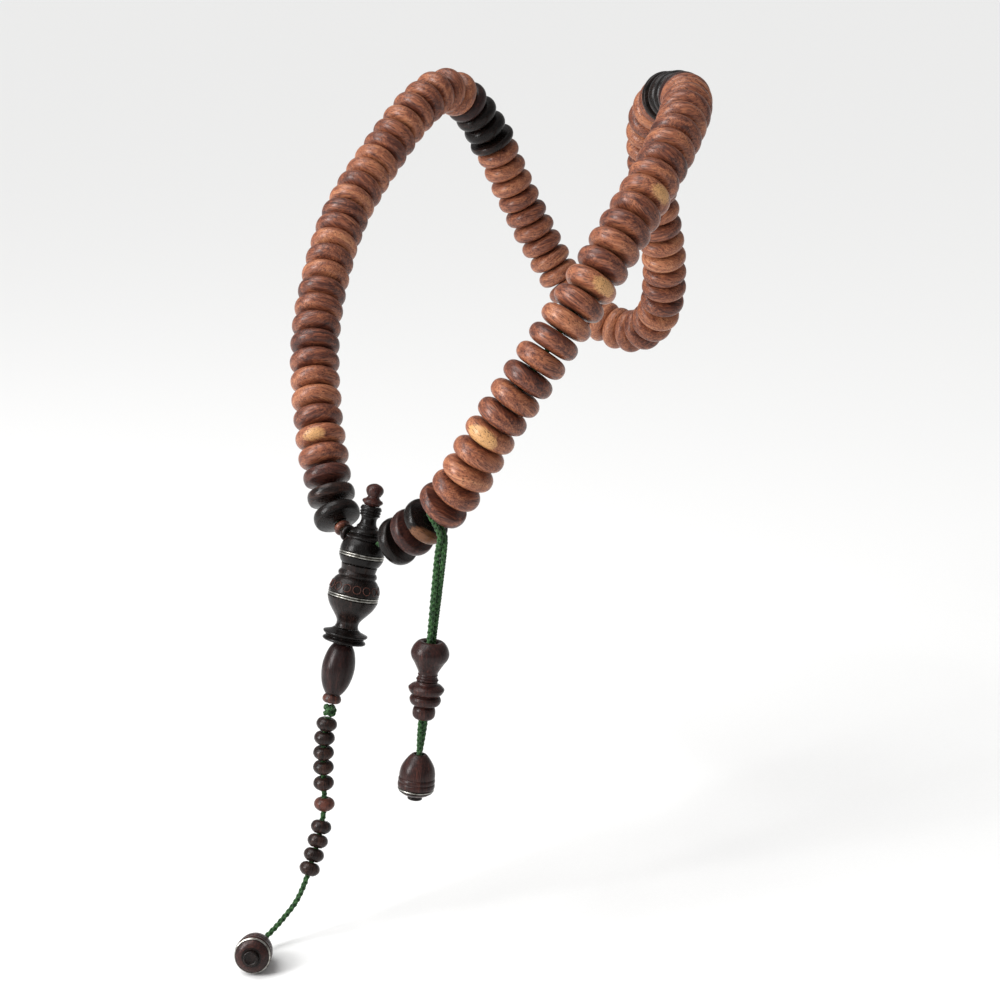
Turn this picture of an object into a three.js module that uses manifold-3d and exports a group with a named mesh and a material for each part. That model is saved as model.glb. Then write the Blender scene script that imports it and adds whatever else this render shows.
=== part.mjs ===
// Misbaha prayer beads: a loop of 99 wooden rondelles on a plaited cord, closed by a turned
// headpiece with a counter tail, and a slider tassel that marks a place on the loop.
// Millimetres, +Z up. The wearer faces -Y, the wearer's left hand is at +X, and the origin is
// the middle of the neck that carries the loop, level with the top of the beads.
import * as THREE from 'three';
import { mergeVertices } from 'three/addons/utils/BufferGeometryUtils.js';
import Module from 'manifold-3d';

const wasm = await Module();
wasm.setup();

// Driving dimensions
const GAP = 0.3;
const CORD_RADIUS = 1;
const CORD_SIDES = 8;
const BEAD_RADIUS = 10;
const BEAD_THICKNESS = 7.9;
const BEAD_PITCH = BEAD_THICKNESS + GAP;
const BEAD_BORE = 2.05;
const BEADS_PER_THIRD = 33;
const DIVIDER_RADIUS = 10.6;
const DIVIDER_THICKNESS = 6;
const DIVIDER_PITCH = (BEAD_THICKNESS + DIVIDER_THICKNESS) / 2 + GAP;
const END_BEAD_RADIUS = 9.4;
const END_BEADS = 3;
const FIRST_RIGHT_BEAD = 16.2;
const FIRST_LEFT_BEAD = 20.2;
const MARKER_SLOT = 2.4;
const MARKER_AFTER_BEAD = 3;
const RIGHT_GAPS = [[1, 0.3], [MARKER_AFTER_BEAD, MARKER_SLOT]];
const LEFT_GAPS = [[1, 0.6]];
const COUNTER_RADIUS = 4.05;
const COUNTER_BORE = 1.4;
const LOOP_CORD_STEPS = 84;
const RUN_SEGMENTS = 8;
const BEAD_SEGMENTS = 12;
const SMALL_SEGMENTS = 8;
const TURNED_SEGMENTS = 12;

// The loop's centre line: from the headpiece up the wearer's left, round behind the neck where
// it hangs in a bow, and down the wearer's right back to the headpiece.
const LOOP_ROUTE = [
  [15.4, -105, -160], [23, -104.5, -160], [30, -102, -158], [38, -100.5, -152.5],
  [48, -98, -143.5], [57, -94, -132], [65, -87, -113.5], [76, -73, -87],
  [83, -56, -62], [84, -36, -40], [79, -12, -20], [68, 12, -5],
  [50, 33, 0], [22, 52, -3], [7, 61, -13], [-2, 71, -32],
  [-6, 81, -56], [-11, 92, -81], [-21, 100, -103], [-38, 104, -115],
  [-57, 102, -113], [-73, 95, -99], [-83, 85, -76], [-89, 73, -50],
  [-91, 60, -26], [-91, 45, -9.5], [-88, 29, -4], [-85, 12, -10],
  [-81, -12, -28], [-72, -40, -50], [-60, -60.5, -70], [-45, -79.5, -94.5],
  [-28, -92.5, -121], [-13, -100, -143.5], [-4.5, -103, -154.5], [1, -104.5, -158.5],
  [7, -105, -160], [14.6, -105, -160],
];

// The headpiece hangs from the loop cord at its cross hole and leans out at the bottom.
const IMAM_HOLE = [15, -105, -160];
const IMAM_UP = [0, 0.286, 0.958];
const SIDEWAYS = [1, 0, 0];
const KNOT_CENTRE = -67.2;
const KNOT_RADIUS = 2.4;

// The tail's centre line, from the knot under the headpiece to the drop bead lying in front.
const TAIL_ROUTE = [
  [15, -124.2, -224.4], [15, -127, -235], [15, -128, -250], [16, -129, -264],
  [18, -136, -280], [19, -145, -295], [17.5, -152, -302.5], [16.5, -158, -307],
  [17, -161.5, -308], [19, -164.5, -307.5], [21.5, -167, -307],
];
const COUNTER_STATIONS = [5.5, 11, 17, 23, 29.5, 38, 47, 52.5, 58, 63.5];
const TAIL_CORD_STEPS = 24;
const TAIL_DROP_TOP = [19, -164.5, -307.5];
const TAIL_DROP_UP = [-0.68, 0.7, -0.2];

// The marker hangs from the loop cord between two beads.
const MARKER_OUT = [0.67, -0.32, -0.67];
const MARKER_UP = [0, 0.15, 0.989];
const MARKER_EXIT = 10.8;
const MARKER_LEG_SPACING = 1.1;
const MARKER_LEG_TWIST = 0.95;
const MARKER_LEG_LENGTH = 38.8;
const MARKER_CORD_STEPS = 40;
const SLIDER_LENGTH = 30.4;
const DROP_CORD_LENGTH = 17.3;
const DROP_CORD_RADIUS = 1.5;
const DROP_LENGTH = 17.7;
const TAIL_DROP_HOLE = 1.5;
const MARKER_DROP_HOLE = 1.9;

const TIMBER_RED = { color: 0x96553c, roughness: 0.45, metalness: 0 };
const TIMBER_DARK = { color: 0x2f2624, roughness: 0.35, metalness: 0 };
const TIMBER_PURPLE = { color: 0x46302e, roughness: 0.35, metalness: 0 };
const SILVER = { color: 0xc4c2bc, roughness: 0.3, metalness: 1 };
const CORD_GREEN = { color: 0x14552f, roughness: 0.8, metalness: 0 };

const part = new THREE.Group();
part.name = 'misbaha';

const vector = (list) => new THREE.Vector3(...list);

function addNode(name, geometry, look) {
  const mesh = new THREE.Mesh(geometry, new THREE.MeshStandardMaterial(look));
  mesh.name = name;
  part.add(mesh);
}

// A turned solid: the outline is [radius, height] pairs, up the outside and down any bore.
function turned(outline, segments, bored) {
  const points = outline.map(([radius, height]) => new THREE.Vector2(radius, height));
  if (bored) {
    points.push(points[0].clone());
  }
  return new THREE.LatheGeometry(points, segments);
}

// Stands a turned solid on a point, with its axis along `up` and its own x axis near `side`.
function stand(geometry, point, up, side) {
  const axis = vector(up).normalize();
  const third = vector(side).cross(axis).normalize();
  const first = axis.clone().cross(third);
  const matrix = new THREE.Matrix4().makeBasis(first, axis, third);
  matrix.setPosition(vector(point));
  return geometry.clone().applyMatrix4(matrix);
}

function toManifold(geometry) {
  const bare = geometry.clone();
  bare.deleteAttribute('normal');
  bare.deleteAttribute('uv');
  const welded = mergeVertices(bare, 1e-5);
  return new wasm.Manifold(new wasm.Mesh({
    numProp: 3,
    vertProperties: new Float32Array(welded.attributes.position.array),
    triVerts: new Uint32Array(welded.index.array),
  }));
}

function toGeometry(solid) {
  const mesh = solid.getMesh();
  const geometry = new THREE.BufferGeometry();
  geometry.setAttribute('position', new THREE.BufferAttribute(mesh.vertProperties, 3));
  geometry.setIndex(new THREE.BufferAttribute(mesh.triVerts, 1));
  geometry.computeVertexNormals();
  return geometry;
}

// A line that pieces are threaded on: gives the point and cross-section axes at any distance.
class Thread {
  constructor(points) {
    this.curve = new THREE.CatmullRomCurve3(points.map(vector), false, 'centripetal');
    this.curve.arcLengthDivisions = 2400;
    this.length = this.curve.getLength();
    this.frameCount = 1800;
    this.frames = this.curve.computeFrenetFrames(this.frameCount, false);
  }

  at(distance) {
    const share = THREE.MathUtils.clamp(distance / this.length, 0, 1);
    const index = Math.round(share * this.frameCount);
    const along = this.frames.tangents[index];
    const across = this.frames.normals[index];
    return {
      point: this.curve.getPointAt(share),
      along,
      across,
      third: across.clone().cross(along),
    };
  }

  // Puts a turned solid on the thread, square to it.
  place(geometry, distance) {
    const here = this.at(distance);
    const matrix = new THREE.Matrix4().makeBasis(here.across, here.along, here.third);
    matrix.setPosition(here.point);
    return geometry.clone().applyMatrix4(matrix);
  }

  // Bends a long turned solid, whose height is distance along the thread, to follow it.
  bend(geometry) {
    const bent = geometry.clone();
    const positions = bent.attributes.position;
    for (let i = 0; i < positions.count; i += 1) {
      const here = this.at(positions.getY(i));
      const point = here.point.clone()
        .addScaledVector(here.across, positions.getX(i))
        .addScaledVector(here.third, positions.getZ(i));
      positions.setXYZ(i, point.x, point.y, point.z);
    }
    bent.computeVertexNormals();
    return bent;
  }
}

function cordSection(radius) {
  const shape = new THREE.Shape();
  for (let i = 0; i < CORD_SIDES; i += 1) {
    const angle = (2 * Math.PI * i) / CORD_SIDES;
    const x = radius * Math.cos(angle);
    const y = radius * Math.sin(angle);
    if (i === 0) {
      shape.moveTo(x, y);
    } else {
      shape.lineTo(x, y);
    }
  }
  shape.closePath();
  return shape;
}

function cordAlong(curve, steps) {
  return new THREE.ExtrudeGeometry(cordSection(CORD_RADIUS), { steps, extrudePath: curve });
}

// A stretch of a thread between two distances, as a curve of its own.
function stretch(thread, from, to, pointCount) {
  const points = [];
  for (let i = 0; i <= pointCount; i += 1) {
    points.push(thread.at(from + ((to - from) * i) / pointCount).point);
  }
  return new THREE.CatmullRomCurve3(points, false, 'centripetal');
}

// Loop beads -------------------------------------------------------------------------------

function rondelle(radius, thickness, bore) {
  const half = thickness / 2;
  const side = [
    [bore, half], [0.58 * radius, 0.9 * half], [0.85 * radius, 0.71 * half],
    [0.97 * radius, 0.36 * half],
  ];
  const lower = side.map(([r, h]) => [r, -h]);
  const upper = side.slice().reverse();
  return turned([...lower, [radius, 0], ...upper], BEAD_SEGMENTS, true);
}

// Several beads that touch at their hubs, as one solid that follows the thread.
function beadRun(thread, stations) {
  const half = BEAD_THICKNESS / 2;
  const hub = 0.28 * BEAD_RADIUS;
  const shoulder = [0.88 * BEAD_RADIUS, 0.68 * half];
  const first = stations[0] - half;
  const last = stations[stations.length - 1] + half;
  const outer = [[BEAD_BORE, first], [hub, first]];
  stations.forEach((station, i) => {
    outer.push([shoulder[0], station - shoulder[1]]);
    outer.push([BEAD_RADIUS, station]);
    outer.push([shoulder[0], station + shoulder[1]]);
    if (i < stations.length - 1) {
      outer.push([hub, (station + stations[i + 1]) / 2]);
    }
  });
  outer.push([hub, last], [BEAD_BORE, last]);
  const bore = stations.slice().reverse().map((station) => [BEAD_BORE, station]);
  return thread.bend(turned([...outer, ...bore], RUN_SEGMENTS, true));
}

const loop = new Thread(LOOP_ROUTE);

// Bead centres counted away from the headpiece; `gaps` widens the space after some beads.
function frontStations(firstStation, step, gaps) {
  const stations = [];
  for (let i = 0; i < BEADS_PER_THIRD; i += 1) {
    const slack = gaps.reduce((sum, [after, extra]) => sum + (i >= after ? extra : 0), 0);
    stations.push(firstStation + step * (i * BEAD_PITCH + slack));
  }
  return stations;
}

const rightStations = frontStations(FIRST_RIGHT_BEAD, 1, RIGHT_GAPS);
const leftStations = frontStations(loop.length - FIRST_LEFT_BEAD, -1, LEFT_GAPS);
const rightDivider = rightStations[BEADS_PER_THIRD - 1] + DIVIDER_PITCH;
const leftDivider = leftStations[BEADS_PER_THIRD - 1] - DIVIDER_PITCH;
const backSpan = leftDivider - rightDivider - 2 * DIVIDER_PITCH;
const backPitch = backSpan / (BEADS_PER_THIRD - 1);
const backStations = [];
for (let i = 0; i < BEADS_PER_THIRD; i += 1) {
  backStations.push(rightDivider + DIVIDER_PITCH + i * backPitch);
}

// The dark discs beside the headpiece are a little smaller, with flat faces and a crisp rim.
function endDisc() {
  const half = BEAD_THICKNESS / 2;
  const side = [
    [BEAD_BORE, half], [0.89 * END_BEAD_RADIUS, 0.6 * half], [0.97 * END_BEAD_RADIUS, 0.42 * half],
  ];
  const lower = side.map(([r, h]) => [r, -h]);
  const upper = side.slice().reverse();
  return turned([...lower, [END_BEAD_RADIUS, 0], ...upper], BEAD_SEGMENTS, true);
}

const looseBead = rondelle(BEAD_RADIUS, BEAD_THICKNESS, BEAD_BORE);
const endBead = endDisc();
const twoDigits = (number) => String(number).padStart(2, '0');

// The first beads of a third are single nodes; the rest are runs that end at the given numbers.
function addThird(side, stations, looseLooks, runEnds) {
  looseLooks.forEach((look, i) => {
    const bead = i < END_BEADS ? endBead : looseBead;
    addNode(`${side}_bead_${twoDigits(i + 1)}`, loop.place(bead, stations[i]), look);
  });
  let start = looseLooks.length;
  for (const end of runEnds) {
    const members = stations.slice(start, end).sort((a, b) => a - b);
    const name = `${side}_beads_${twoDigits(start + 1)}_${twoDigits(end)}`;
    addNode(name, beadRun(loop, members), TIMBER_RED);
    start = end;
  }
}

addThird(
  'right', rightStations,
  [TIMBER_DARK, TIMBER_PURPLE, TIMBER_DARK, TIMBER_RED, TIMBER_RED, TIMBER_RED],
  [13, 20, 27, 33],
);
addThird(
  'left', leftStations, [TIMBER_DARK, TIMBER_DARK, TIMBER_PURPLE], [9, 15, 21, 27, 33],
);
addThird('back', backStations, [], [7, 14, 20, 26, 33]);

const divider = rondelle(DIVIDER_RADIUS, DIVIDER_THICKNESS, BEAD_BORE);
addNode('right_divider', loop.place(divider, rightDivider), TIMBER_DARK);
addNode('left_divider', loop.place(divider, leftDivider), TIMBER_DARK);
addNode('loop_cord', cordAlong(loop.curve, LOOP_CORD_STEPS), CORD_GREEN);

// Two small collars fill the cord between the headpiece and the first bead on the left.
const collar = turned([
  [BEAD_BORE, -1.2], [2.8, -1.2], [3.3, -0.5], [3.3, 0.5], [2.8, 1.2], [BEAD_BORE, 1.2],
], BEAD_SEGMENTS, true);
addNode('side_collar_dark', loop.place(collar, loop.length - 9.9), TIMBER_DARK);
addNode('side_collar_red', loop.place(collar, loop.length - 13.9), TIMBER_RED);

// Headpiece --------------------------------------------------------------------------------

const standOnImam = (geometry) => stand(geometry, IMAM_HOLE, IMAM_UP, SIDEWAYS);
const IMAM_BORE = 1.7;

function imamHead() {
  const body = turned([
    [0, 0.5], [IMAM_BORE, 0.5], [IMAM_BORE, -9.6], [7.1, -9.6], [7.6, -9], [8.3, -7.2],
    [8.6, -6.75], [7.7, -6.75], [7.7, -4.65], [8.6, -4.65], [8.5, -3.6], [7.9, -1.6], [7, 0],
    [7, 1], [6.3, 1.7], [5.4, 2.1], [5.6, 3.2], [5.3, 4], [4.2, 4.6], [4.1, 5.3], [3.3, 6.2],
    [2.95, 7.4], [3.1, 8.6], [4, 9.6], [3.6, 10.3], [4, 11], [3.7, 11.6], [4.1, 12.3],
    [3.8, 13.1], [1.5, 13.1], [1.5, 9.9], [0, 9.9],
  ], TURNED_SEGMENTS, false);
  const hole = new THREE.CylinderGeometry(BEAD_BORE, BEAD_BORE, 24, 16).rotateZ(Math.PI / 2);
  return toGeometry(toManifold(body).subtract(toManifold(hole)));
}

addNode('imam_finial', standOnImam(turned([
  [0, 10.2], [1.2, 10.2], [1.2, 13.4], [3, 13.4], [3.9, 14.6], [3.9, 15.3], [2.8, 16.1],
  [2.3, 17], [2.7, 17.6], [3.25, 18.4], [3.35, 19.4], [2.9, 20.6], [1.6, 21.5], [0, 21.9],
], TURNED_SEGMENTS, false)), TIMBER_PURPLE);
addNode('imam_head', standOnImam(imamHead()), TIMBER_DARK);

// A silver band with two ridges that sits in a groove of the turned body.
function inlayBand(bodyRadius, middle) {
  const seat = bodyRadius - 0.65;
  return turned([
    [seat, middle - 0.8], [bodyRadius + 0.1, middle - 0.8], [bodyRadius + 0.2, middle - 0.5],
    [bodyRadius - 0.15, middle - 0.15], [bodyRadius - 0.15, middle + 0.15],
    [bodyRadius + 0.2, middle + 0.5], [bodyRadius + 0.1, middle + 0.8], [seat, middle + 0.8],
  ], TURNED_SEGMENTS, true);
}

addNode('imam_head_band', standOnImam(inlayBand(8.6, -5.7)), SILVER);
addNode('imam_vase', standOnImam(turned([
  [IMAM_BORE, -34.4], [4.7, -34.4], [4.3, -33.4], [4.3, -32.2], [5, -30.8], [6.9, -28.4],
  [8.5, -26.2], [9.4, -24.2], [9.8, -22.95], [8.8, -22.95], [8.8, -20.85], [9.8, -20.85],
  [9.4, -18.9], [8.7, -16.8], [7.8, -15.2], [7, -14.6], [7.3, -14], [7.3, -12.8], [6.7, -12.2],
  [6.8, -11.1], [7, -9.9], [IMAM_BORE, -9.9],
], TURNED_SEGMENTS, true)), TIMBER_DARK);
addNode('imam_vase_band', standOnImam(inlayBand(9.7, -21.9)), SILVER);
addNode('imam_flange', standOnImam(turned([
  [IMAM_BORE, -40.7], [4, -40.7], [5.4, -40.2], [8, -39.9], [8.3, -39.4], [7.9, -38.8],
  [7.2, -38.3], [7.4, -37.8], [8.4, -37.4], [8.6, -36.8], [8.3, -36.3], [6, -35.6],
  [4.9, -34.7], [IMAM_BORE, -34.7],
], TURNED_SEGMENTS, true)), TIMBER_DARK);
addNode('imam_olive', standOnImam(turned([
  [IMAM_BORE, -60.6], [3.2, -60.6], [4.6, -58.2], [5.8, -54.6], [6.3, -50.7], [5.9, -46.6],
  [4.8, -43.2], [3.6, -41], [IMAM_BORE, -41],
], TURNED_SEGMENTS, true)), TIMBER_PURPLE);
addNode('imam_foot_collar', standOnImam(turned([
  [IMAM_BORE, -64.1], [2.9, -64.1], [3.6, -63], [3.6, -62.2], [2.9, -60.9], [IMAM_BORE, -60.9],
], BEAD_SEGMENTS, true)), TIMBER_RED);
addNode('imam_core_cord', standOnImam(
  new THREE.CylinderGeometry(CORD_RADIUS, CORD_RADIUS, 61.9, CORD_SIDES, 6)
    .translate(0, -33.15, 0),
), CORD_GREEN);

// Tail -------------------------------------------------------------------------------------

const tail = new Thread(TAIL_ROUTE);

addNode('tail_knot', standOnImam(turned([
  [0, KNOT_CENTRE - 2.5], [1.3, KNOT_CENTRE - 2.2], [KNOT_RADIUS, KNOT_CENTRE - 0.9],
  [KNOT_RADIUS, KNOT_CENTRE + 0.9], [1.3, KNOT_CENTRE + 2.2], [0, KNOT_CENTRE + 2.5],
], BEAD_SEGMENTS, false)), CORD_GREEN);

const counter = turned([
  [COUNTER_BORE, -2.5], [2.5, -2.45], [3.7, -1.3], [COUNTER_RADIUS, 0], [3.7, 1.3],
  [2.5, 2.45], [COUNTER_BORE, 2.5],
], SMALL_SEGMENTS, true);
COUNTER_STATIONS.forEach((station, i) => {
  const look = i === 5 ? TIMBER_PURPLE : TIMBER_DARK;
  addNode(`tail_counter_${twoDigits(i + 1)}`, tail.place(counter, station), look);
});

// A drop bead: an acorn with two grooves, a silver ring and a small foot; its top is height 0
// and has a blind hole for the cord.
function dropBead(holeRadius) {
  return turned([
    [0, -DROP_LENGTH], [2.4, -DROP_LENGTH], [2.6, -16.3], [4.8, -15.6], [6.5, -14.2],
    [5.8, -14.2], [5.8, -12.9], [6.8, -12.9], [7, -11.2], [6.6, -10.8], [6.9, -10.5],
    [6.8, -9.3], [6.5, -9], [6.7, -8.7], [6.2, -5], [4.5, -2], [holeRadius + 0.7, 0],
    [holeRadius, 0], [holeRadius, -4], [0, -4],
  ], TURNED_SEGMENTS, false);
}

function dropRing() {
  return turned([
    [6.1, -14], [6.7, -14], [6.9, -13.6], [6.85, -13.1], [6.1, -13.1],
  ], TURNED_SEGMENTS, true);
}

addNode('tail_cord', cordAlong(
  stretch(tail, KNOT_RADIUS + 0.4, tail.length, 24), TAIL_CORD_STEPS,
), CORD_GREEN);
addNode('tail_drop', stand(dropBead(TAIL_DROP_HOLE), TAIL_DROP_TOP, TAIL_DROP_UP, SIDEWAYS), TIMBER_PURPLE);
addNode('tail_drop_ring', stand(dropRing(), TAIL_DROP_TOP, TAIL_DROP_UP, SIDEWAYS), SILVER);

// Marker -----------------------------------------------------------------------------------

const slotStation = (rightStations[MARKER_AFTER_BEAD - 1] + rightStations[MARKER_AFTER_BEAD]) / 2;
const slot = loop.at(slotStation);
const outward = vector(MARKER_OUT).addScaledVector(
  slot.along, -vector(MARKER_OUT).dot(slot.along),
).normalize();
const aside = slot.along.clone().cross(outward);
const markerUp = vector(MARKER_UP).normalize();
const markerExit = slot.point.clone().addScaledVector(outward, MARKER_EXIT);
const legSide = vector([0.7, 0.72, 0]).normalize();
const sliderTop = markerExit.clone().addScaledVector(markerUp, -MARKER_LEG_LENGTH);
const standOnMarker = (geometry) => stand(geometry, sliderTop.toArray(), MARKER_UP, SIDEWAYS);

// The doubled cord: up one leg, over the loop cord and down the other.
function markerCordCurve() {
  const inSlot = (out, side) => slot.point.clone()
    .addScaledVector(outward, out)
    .addScaledVector(aside, side);
  const onLeg = (down, side) => {
    const twist = MARKER_LEG_TWIST * Math.min(down / MARKER_LEG_LENGTH, 1);
    return markerExit.clone()
      .addScaledVector(markerUp, -down)
      .addScaledVector(legSide.clone().applyAxisAngle(markerUp, twist), side);
  };
  const leg = (side) => [
    onLeg(MARKER_LEG_LENGTH + SLIDER_LENGTH - GAP, side),
    onLeg(MARKER_LEG_LENGTH, side),
    onLeg(20, side),
    onLeg(5, side),
    markerExit.clone().addScaledVector(aside, side),
    inSlot(6, 1.2 * side),
  ];
  const rising = leg(MARKER_LEG_SPACING);
  const falling = leg(-MARKER_LEG_SPACING).reverse();
  const over = [
    inSlot(1, 2.6), inSlot(-1.9, 1.9), inSlot(-2.7, 0), inSlot(-1.9, -1.9),
    inSlot(1, -2.6),
  ];
  return new THREE.CatmullRomCurve3([...rising, ...over, ...falling], false, 'centripetal');
}

addNode('marker_cord', cordAlong(markerCordCurve(), MARKER_CORD_STEPS), CORD_GREEN);

const SLIDER_BORE = 2.6;
addNode('marker_tulip', standOnMarker(turned([
  [SLIDER_BORE, -15.6], [4.2, -15.6], [4.3, -15], [3.7, -14.2], [3.65, -12.8], [4.3, -11],
  [5.6, -8.8], [6.8, -7], [7.2, -5.4], [6.9, -3.8], [6.1, -2.2], [5, -1], [4.3, -0.6],
  [SLIDER_BORE, -0.6],
], TURNED_SEGMENTS, true)), TIMBER_PURPLE);
addNode('marker_double_disc', standOnMarker(turned([
  [SLIDER_BORE, -25.2], [4.3, -25.2], [5, -24.8], [5.7, -23.8], [5.95, -22.8], [5.6, -21.9],
  [4.7, -21.5], [5.1, -21.1], [6, -20.4], [6.65, -19.3], [6.8, -18.5], [5.6, -17.5],
  [4.2, -16.8], [3.9, -15.9], [SLIDER_BORE, -15.9],
], TURNED_SEGMENTS, true)), TIMBER_PURPLE);
addNode('marker_rondelle', standOnMarker(turned([
  [SLIDER_BORE, -SLIDER_LENGTH], [3.4, -SLIDER_LENGTH], [4.1, -29.4], [4.3, -28], [4.1, -26.5],
  [3.4, -25.5], [SLIDER_BORE, -25.5],
], BEAD_SEGMENTS, true)), TIMBER_PURPLE);
addNode('marker_drop_cord', standOnMarker(
  new THREE.CylinderGeometry(
    DROP_CORD_RADIUS, DROP_CORD_RADIUS, DROP_CORD_LENGTH, CORD_SIDES, 4,
  ).translate(0, -SLIDER_LENGTH - GAP - DROP_CORD_LENGTH / 2, 0),
), CORD_GREEN);

const dropTop = sliderTop.clone().addScaledVector(markerUp, -44.3).toArray();
addNode('marker_drop', stand(dropBead(MARKER_DROP_HOLE), dropTop, MARKER_UP, SIDEWAYS), TIMBER_PURPLE);
addNode('marker_drop_ring', stand(dropRing(), dropTop, MARKER_UP, SIDEWAYS), SILVER);

export default part;
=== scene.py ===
"""Misbaha: ninety-nine turned wooden discs on a plaited cord, a headpiece with a counter tail,
and a sliding place marker. Metres, +Z up; the wearer faces -Y and the origin is the neck."""
import bisect
import math
import random

import bmesh
import bpy
from mathutils import Matrix, Vector


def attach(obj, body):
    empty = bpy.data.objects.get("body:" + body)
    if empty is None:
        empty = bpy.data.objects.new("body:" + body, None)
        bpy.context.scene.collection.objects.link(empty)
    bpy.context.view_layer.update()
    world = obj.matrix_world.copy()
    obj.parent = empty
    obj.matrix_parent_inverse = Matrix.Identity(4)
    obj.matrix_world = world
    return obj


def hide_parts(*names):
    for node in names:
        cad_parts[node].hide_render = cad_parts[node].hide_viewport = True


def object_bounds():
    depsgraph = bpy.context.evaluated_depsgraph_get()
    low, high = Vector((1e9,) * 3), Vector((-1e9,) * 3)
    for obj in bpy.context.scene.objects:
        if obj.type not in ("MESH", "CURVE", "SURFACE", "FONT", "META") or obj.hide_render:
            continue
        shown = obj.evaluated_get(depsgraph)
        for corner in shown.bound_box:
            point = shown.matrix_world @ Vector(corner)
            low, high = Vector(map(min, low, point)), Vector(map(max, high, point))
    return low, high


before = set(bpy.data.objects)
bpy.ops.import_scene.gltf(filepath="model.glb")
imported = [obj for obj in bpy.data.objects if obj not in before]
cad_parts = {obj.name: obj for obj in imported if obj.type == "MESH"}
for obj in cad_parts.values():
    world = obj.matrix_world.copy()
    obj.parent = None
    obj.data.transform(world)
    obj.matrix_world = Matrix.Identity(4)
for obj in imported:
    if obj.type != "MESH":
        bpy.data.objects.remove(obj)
cad_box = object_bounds()

MM = 0.001
TABLE_HEIGHT = cad_box[0][2]
WELD = 1e-7  # corners closer than this are one corner


# Camera ---------------------------------------------------------------------------------------

CAMERA_LENS = 68.4
CAMERA_SENSOR = 36
CAMERA_PLACE = (0.5519, -0.5430, 0.0564)
CAMERA_TILT = math.radians(73.81)
CAMERA_TURN = math.radians(46.53)


def make_camera():
    data = bpy.data.cameras.new("camera")
    data.lens = CAMERA_LENS
    data.sensor_width = CAMERA_SENSOR
    camera = bpy.data.objects.new("camera", data)
    camera.location = CAMERA_PLACE
    camera.rotation_euler = (CAMERA_TILT, 0, CAMERA_TURN)
    bpy.context.collection.objects.link(camera)
    bpy.context.scene.camera = camera


make_camera()


# Lines that cords follow and pieces are threaded on -----------------------------------------------

class Route:
    """A smooth line through points in metres, measured along its length."""

    def __init__(self, points, steps=50):
        points = [Vector(point) for point in points]
        points = [2 * points[0] - points[1], *points, 2 * points[-1] - points[-2]]
        self.points = []
        for four in zip(points, points[1:], points[2:], points[3:]):
            self.points += [self.between(four, i / steps) for i in range(steps)]
        self.points.append(points[-2])
        self.distances = [0.0]
        for first, second in zip(self.points, self.points[1:]):
            self.distances.append(self.distances[-1] + (second - first).length)
        self.length = self.distances[-1]

    @staticmethod
    def between(four, t):
        """A point on the curve between the middle two of four points, however they are spaced."""
        a, b, c, d = four
        before, span, after = ((q - p).length ** 0.5 for p, q in ((a, b), (b, c), (c, d)))
        leave = (b - a) / before - (c - a) / (before + span) + (c - b) / span
        arrive = (c - b) / span - (d - b) / (span + after) + (d - c) / after
        leave *= span
        arrive *= span
        return (
            b + leave * t + (3 * (c - b) - 2 * leave - arrive) * t ** 2
            + (2 * (b - c) + leave + arrive) * t ** 3
        )

    def point(self, distance):
        distance = min(max(distance, 0), self.length)
        i = min(bisect.bisect_right(self.distances, distance), len(self.points) - 1)
        start, end = self.distances[i - 1], self.distances[i]
        return self.points[i - 1].lerp(self.points[i], (distance - start) / (end - start))

    def direction(self, distance, reach=0.0004):
        return (self.point(distance + reach) - self.point(distance - reach)).normalized()

    def stand(self, distance):
        """Where a threaded piece sits: its own Z along the line."""
        return standing(self.point(distance), self.direction(distance))


def standing(point, up):
    up = Vector(up).normalized()
    return Matrix.Translation(Vector(point)) @ up.to_track_quat("Z", "Y").to_matrix().to_4x4()


LOOP = Route([Vector(point) * MM for point in (
    (15.4, -105, -160), (23, -104.5, -160), (30, -102, -158), (38, -100.5, -152.5),
    (48, -98, -143.5), (57, -94, -132), (65, -87, -113.5), (76, -73, -87),
    (83, -56, -62), (84, -36, -40), (79, -12, -20), (68, 12, -5),
    (50, 33, 0), (22, 52, -3), (7, 61, -13), (-2, 71, -32),
    (-6, 81, -56), (-11, 92, -81), (-21, 100, -103), (-38, 104, -115),
    (-57, 102, -113), (-73, 95, -99), (-83, 85, -76), (-89, 73, -50),
    (-91, 60, -26), (-91, 45, -9.5), (-88, 29, -4), (-85, 12, -10),
    (-81, -12, -28), (-72, -40, -50), (-60, -60.5, -70), (-45, -79.5, -94.5),
    (-28, -92.5, -121), (-13, -100, -143.5), (-4.5, -103, -154.5), (1, -104.5, -158.5),
    (7, -105, -160), (14.6, -105, -160),
)])
HEAD = Vector((0.015, -0.105, -0.16))
HEAD_UP = Vector((0, 0.286, 0.958)).normalized()
KNOT_FALL = 67.2 * MM
KNOT = HEAD - KNOT_FALL * HEAD_UP
TAIL = Route([Vector(point) * MM for point in (
    (15, -124.2, -224.4), (15, -127, -235), (15, -128, -250), (16, -129, -264),
    (18, -136, -280), (19, -145, -295), (17.5, -152, -302.5), (16.5, -158, -307),
    (17, -161.5, -308), (19, -164.5, -307.5), (21.5, -167, -307),
)])
TAIL_DROP = standing(Vector((19, -164.5, -307.5)) * MM, (-0.68, 0.7, -0.2))
COUNTERS = [5.5, 11, 17, 23, 29.5, 38, 47, 52.5, 58, 63.5]

# Distances along the loop: where the beads start on each side of the headpiece, their pitch, and
# the slack beside the first bead and where the marker cord goes over.
THIRD = 33
PITCH = 8.2 * MM
DIVIDER_PITCH = 7.25 * MM
FIRST_RIGHT = 16.2 * MM
FIRST_LEFT = 20.2 * MM
RIGHT_SLACK = 0.3 * MM
LEFT_SLACK = 0.6 * MM
MARKER_GAP = 2.4 * MM
BEADS_BEFORE_MARKER = 3


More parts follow.
